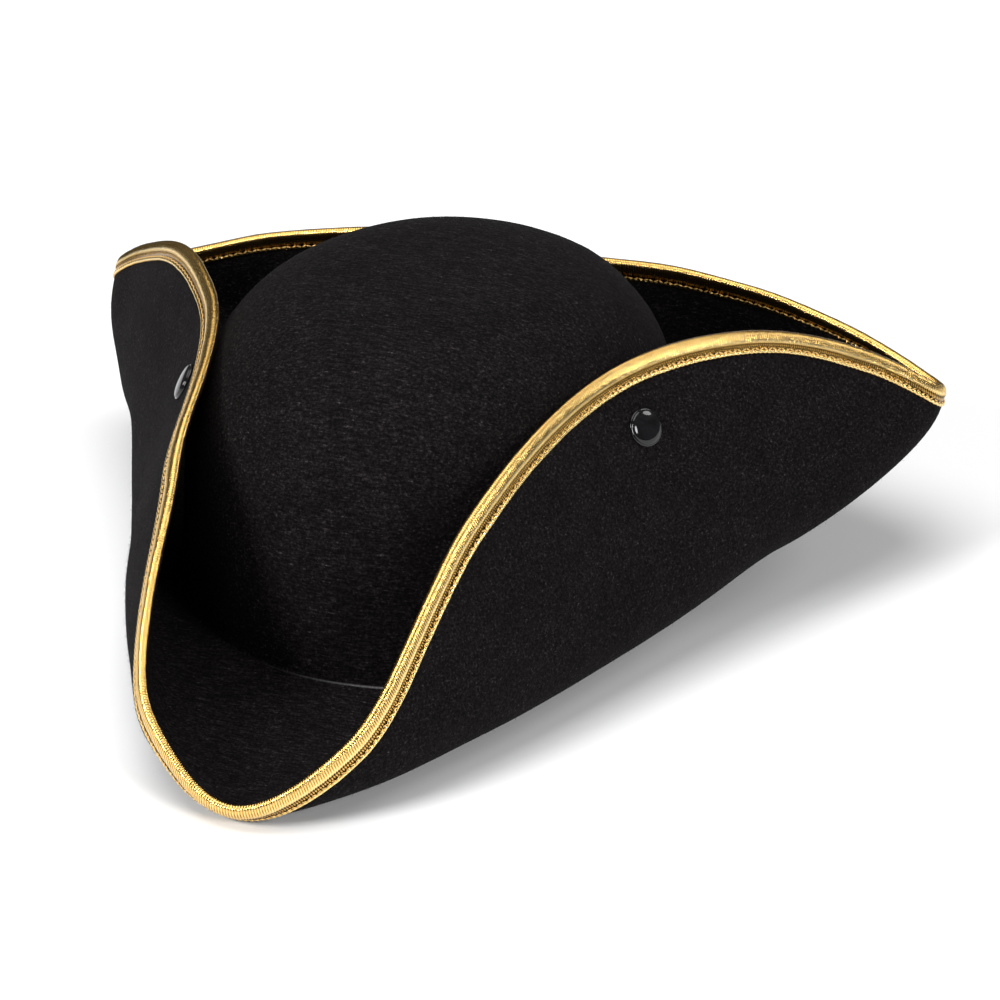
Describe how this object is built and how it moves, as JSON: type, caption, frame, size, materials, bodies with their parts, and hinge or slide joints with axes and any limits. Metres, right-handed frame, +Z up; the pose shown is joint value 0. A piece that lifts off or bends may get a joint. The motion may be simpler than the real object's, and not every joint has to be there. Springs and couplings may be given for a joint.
{
  "type": "pirate hat",
  "caption": "Three-cornered pirate hat of stiff black felt: a round crown and a brim turned up in studded flaps that let down, edged with gold tape.",
  "frame": {"origin": "centre of the hat's box, at the height of its lowest point, which is what it stands on", "axes": "+Z up through the crown, +X to the side that is on the right seen from the front corner, -Y out through the front corner"},
  "size_m": [0.3258, 0.3196, 0.1232],
  "materials": {
    "felt": "matt pressed felt with a short nap",
    "gold_binding": "bright metallic knit tape",
    "gold_thread": "satin stitching",
    "press_stud_cap": "polished domed cap",
    "press_stud": "moulded, satin",
    "sweatband": "woven tape",
    "dark_thread": "spun thread",
    "label": "blank woven satin"
  },
  "bodies": {
    "root": {"felt_crown_brim": "felt", "binding_front_corner": "gold_binding", "binding_right_corner": "gold_binding", "binding_left_corner": "gold_binding", "stud_right": "press_stud", "backing_right": "press_stud", "stud_left": "press_stud", "backing_left": "press_stud", "stud_back": "press_stud", "backing_back": "press_stud", "sweatband": "sweatband", "sweatband_thread": "dark_thread", "care_label": "label"},
    "right_flap": {"felt_right_flap": "felt", "binding_right": "gold_binding", "thread_right_inner": "gold_thread", "thread_right_outer": "gold_thread", "cap_right": "press_stud_cap", "socket_right": "press_stud"},
    "left_flap": {"felt_left_flap": "felt", "binding_left": "gold_binding", "thread_left_inner": "gold_thread", "thread_left_outer": "gold_thread", "cap_left": "press_stud_cap", "socket_left": "press_stud"},
    "back_flap": {"felt_back_flap": "felt", "binding_back": "gold_binding", "thread_back_inner": "gold_thread", "thread_back_outer": "gold_thread", "cap_back": "press_stud_cap", "socket_back": "press_stud"}
  },
  "joints": [
    {"name": "right_flap_hinge", "type": "hinge", "parent": "root", "child": "right_flap", "pos_m": [0.10309, -0.02695, 0.02605], "axis": [0.4814, 0.861, 0.1641], "range_deg": [0, 60]},
    {"name": "left_flap_hinge", "type": "hinge", "parent": "root", "child": "left_flap", "pos_m": [-0.10309, -0.02695, 0.02605], "axis": [0.4814, -0.861, -0.1641], "range_deg": [0, 60]},
    {"name": "back_flap_hinge", "type": "hinge", "parent": "root", "child": "back_flap", "pos_m": [0, 0.16155, 0.03144], "axis": [-1, 0, 0], "range_deg": [0, 60]}
  ]
}
